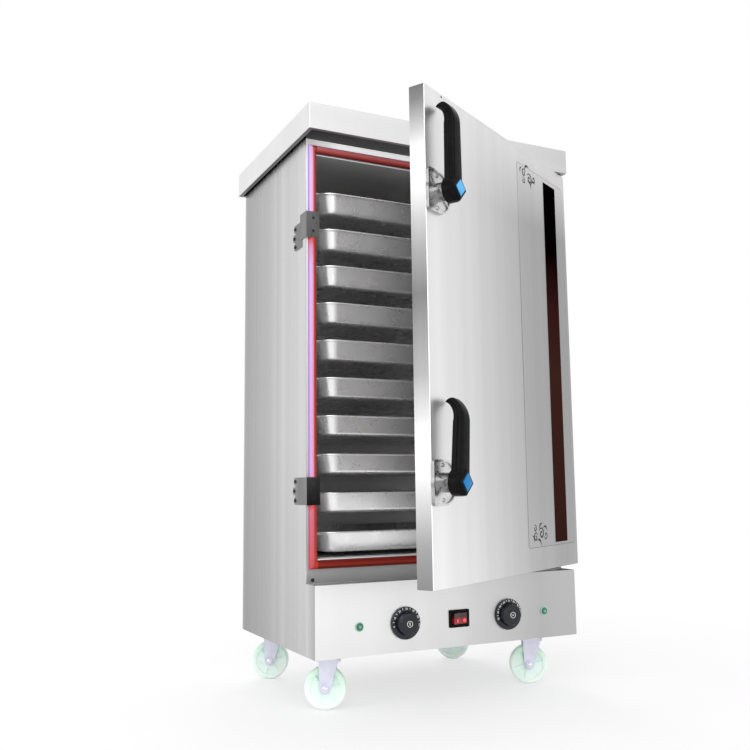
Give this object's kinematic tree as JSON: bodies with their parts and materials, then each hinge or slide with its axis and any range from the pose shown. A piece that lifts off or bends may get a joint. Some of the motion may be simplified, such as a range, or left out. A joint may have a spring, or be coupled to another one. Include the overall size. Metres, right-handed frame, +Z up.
{
  "type": "rice steaming cabinet",
  "caption": "Upright rice steaming cabinet on casters with a stack of pull-out trays, a latched side-hinged door, dial controls and a boiler tank in the base.",
  "frame": {"origin": "on the floor under the middle of the cabinet's body", "axes": "+X to the right of someone facing the door, +Y to the back, +Z up"},
  "size_m": [0.7114, 0.905, 1.332],
  "materials": {
    "stainless_skin": "vertical brushed grain",
    "chamber_steel": "matt rolled steel, steamed dull",
    "tray_steel": "polished pressing",
    "galvanised_steel": "galvanised",
    "silicone": "smooth moulded silicone",
    "mineral_wool": "fibrous board",
    "foam": "rigid foam",
    "heater_steel": "heat darkened",
    "brass": "turned",
    "float_plastic": "moulded",
    "handle_plastic": "dipped plastic",
    "black_plastic": "moulded phenolic",
    "red_plastic": "translucent red",
    "green_lens": "translucent green",
    "dark_glass": "dark printed glass",
    "fixture_steel": "plated pressing",
    "cast_chrome": "plated casting",
    "caster_zinc": "zinc plated pressing",
    "wheel_plastic": "translucent mint polyurethane"
  },
  "bodies": {
    "cabinet": {"top_cover": "stainless_skin", "side_panels": "stainless_skin", "back_panel": "stainless_skin", "bottom_panel": "stainless_skin", "base_frame": "galvanised_steel", "front_frame": "stainless_skin", "door_gasket": "silicone", "insulation": "mineral_wool", "inner_chamber": "chamber_steel", "tray_rails": "chamber_steel", "steam_plate": "chamber_steel", "water_tank": "chamber_steel", "heating_elements": "heater_steel", "float_valve": "brass", "drain_valve": "brass", "steam_vent": "chamber_steel", "cable_gland": "black_plastic", "contactor": "black_plastic", "control_panel": "stainless_skin", "pilot_lamps": "green_lens", "control_units": "black_plastic", "rocker_housing": "black_plastic", "cabinet_hinges": "fixture_steel", "keepers": "fixture_steel", "cabinet_screws": "fixture_steel", "caster_plates": "caster_zinc"},
    "door": {"door_skin": "stainless_skin", "door_liner": "stainless_skin", "door_insulation": "foam", "decor_strip": "dark_glass", "door_hinges": "fixture_steel", "door_screws": "fixture_steel", "latch_bases": "cast_chrome"},
    "upper_latch": {"upper_lever": "black_plastic", "upper_latch_cam": "fixture_steel"},
    "lower_latch": {"lower_lever": "black_plastic", "lower_latch_cam": "fixture_steel"},
    "timer_dial": {"timer_knob": "black_plastic"},
    "thermostat_dial": {"thermostat_knob": "black_plastic"},
    "mains_rocker": {"power_rocker": "red_plastic"},
    "feed_float": {"float_arm": "float_plastic"},
    "drain_handle": {"drain_lever": "handle_plastic"},
    "tray_01_slide_body": {"tray_01": "tray_steel"},
    "tray_02_slide_body": {"tray_02": "tray_steel"},
    "tray_03_slide_body": {"tray_03": "tray_steel"},
    "tray_04_slide_body": {"tray_04": "tray_steel"},
    "tray_05_slide_body": {"tray_05": "tray_steel"},
    "tray_06_slide_body": {"tray_06": "tray_steel"},
    "tray_07_slide_body": {"tray_07": "tray_steel"},
    "tray_08_slide_body": {"tray_08": "tray_steel"},
    "tray_09_slide_body": {"tray_09": "tray_steel"},
    "tray_10_slide_body": {"tray_10": "tray_steel"},
    "front_left_swivel": {"front_left_fork": "caster_zinc"},
    "front_left_roller": {"front_left_wheel": "wheel_plastic"},
    "front_right_swivel": {"front_right_fork": "caster_zinc"},
    "front_right_roller": {"front_right_wheel": "wheel_plastic"},
    "back_left_swivel": {"back_left_fork": "caster_zinc"},
    "back_left_roller": {"back_left_wheel": "wheel_plastic"},
    "back_right_swivel": {"back_right_fork": "caster_zinc"},
    "back_right_roller": {"back_right_wheel": "wheel_plastic"}
  },
  "joints": [
    {"name": "door_swing", "type": "hinge", "parent": "cabinet", "child": "door", "pos_m": [0.349, -0.23, 0.77], "axis": [0, 0, 1], "range_deg": [-28.6, 106.4]},
    {"name": "upper_latch_turn", "type": "hinge", "parent": "door", "child": "upper_latch", "pos_m": [-0.20055, -0.56949, 1.0525], "axis": [-0.4787, 0.878, 0], "range_deg": [0, 90]},
    {"name": "lower_latch_turn", "type": "hinge", "parent": "door", "child": "lower_latch", "pos_m": [-0.20055, -0.56949, 0.4855], "axis": [-0.4787, 0.878, 0], "range_deg": [-5, 85]},
    {"name": "timer_turn", "type": "hinge", "parent": "cabinet", "child": "timer_dial", "pos_m": [-0.127, -0.27, 0.1835], "axis": [0, 1, 0], "range_deg": [0, 300]},
    {"name": "thermostat_turn", "type": "hinge", "parent": "cabinet", "child": "thermostat_dial", "pos_m": [0.142, -0.27, 0.1835], "axis": [0, 1, 0], "range_deg": [0, 270]},
    {"name": "rocker_tilt", "type": "hinge", "parent": "cabinet", "child": "mains_rocker", "pos_m": [0.01, -0.267, 0.1835], "axis": [0, 0, 1], "range_deg": [-20, 0]},
    {"name": "float_lift", "type": "hinge", "parent": "cabinet", "child": "feed_float", "pos_m": [-0.15, 0.1148, 0.2898], "axis": [-1, 0, 0], "range_deg": [-25, 8]},
    {"name": "drain_turn", "type": "hinge", "parent": "cabinet", "child": "drain_handle", "pos_m": [0.18, 0.242, 0.192], "axis": [0, 0, 1], "range_deg": [0, 90]},
    {"name": "tray_01_pull", "type": "slide", "parent": "cabinet", "child": "tray_01_slide_body", "axis": [0, -1, 0], "range_m": [0, 0.05]},
    {"name": "tray_02_pull", "type": "slide", "parent": "cabinet", "child": "tray_02_slide_body", "axis": [0, -1, 0], "range_m": [0, 0.05]},
    {"name": "tray_03_pull", "type": "slide", "parent": "cabinet", "child": "tray_03_slide_body", "axis": [0, -1, 0], "range_m": [0, 0.05]},
    {"name": "tray_04_pull", "type": "slide", "parent": "cabinet", "child": "tray_04_slide_body", "axis": [0, -1, 0], "range_m": [0, 0.05]},
    {"name": "tray_05_pull", "type": "slide", "parent": "cabinet", "child": "tray_05_slide_body", "axis": [0, -1, 0], "range_m": [0, 0.05]},
    {"name": "tray_06_pull", "type": "slide", "parent": "cabinet", "child": "tray_06_slide_body", "axis": [0, -1, 0], "range_m": [0, 0.05]},
    {"name": "tray_07_pull", "type": "slide", "parent": "cabinet", "child": "tray_07_slide_body", "axis": [0, -1, 0], "range_m": [0, 0.05]},
    {"name": "tray_08_pull", "type": "slide", "parent": "cabinet", "child": "tray_08_slide_body", "axis": [0, -1, 0], "range_m": [0, 0.05]},
    {"name": "tray_09_pull", "type": "slide", "parent": "cabinet", "child": "tray_09_slide_body", "axis": [0, -1, 0], "range_m": [0, 0.05]},
    {"name": "tray_10_pull", "type": "slide", "parent": "cabinet", "child": "tray_10_slide_body", "axis": [0, -1, 0], "range_m": [0, 0.05]},
    {"name": "front_left_swivel_turn", "type": "hinge", "parent": "cabinet", "child": "front_left_swivel", "pos_m": [-0.27, -0.18, 0.11], "axis": [0, 0, 1], "continuous": true},
    {"name": "front_left_wheel_spin", "type": "hinge", "parent": "front_left_swivel", "child": "front_left_roller", "pos_m": [-0.27706, -0.17624, 0.046], "axis": [0.4695, 0.8829, 0], "continuous": true},
    {"name": "front_right_swivel_turn", "type": "hinge", "parent": "cabinet", "child": "front_right_swivel", "pos_m": [0.27, -0.18, 0.11], "axis": [0, 0, 1], "continuous": true},
    {"name": "front_right_wheel_spin", "type": "hinge", "parent": "front_right_swivel", "child": "front_right_roller", "pos_m": [0.26294, -0.17624, 0.046], "axis": [0.4695, 0.8829, 0], "continuous": true},
    {"name": "back_left_swivel_turn", "type": "hinge", "parent": "cabinet", "child": "back_left_swivel", "pos_m": [-0.27, 0.18, 0.11], "axis": [0, 0, 1], "continuous": true},
    {"name": "back_left_wheel_spin", "type": "hinge", "parent": "back_left_swivel", "child": "back_left_roller", "pos_m": [-0.27706, 0.18376, 0.046], "axis": [0.4695, 0.8829, 0], "continuous": true},
    {"name": "back_right_swivel_turn", "type": "hinge", "parent": "cabinet", "child": "back_right_swivel", "pos_m": [0.27, 0.18, 0.11], "axis": [0, 0, 1], "continuous": true},
    {"name": "back_right_wheel_spin", "type": "hinge", "parent": "back_right_swivel", "child": "back_right_roller", "pos_m": [0.26294, 0.18376, 0.046], "axis": [0.4695, 0.8829, 0], "continuous": true}
  ]
}
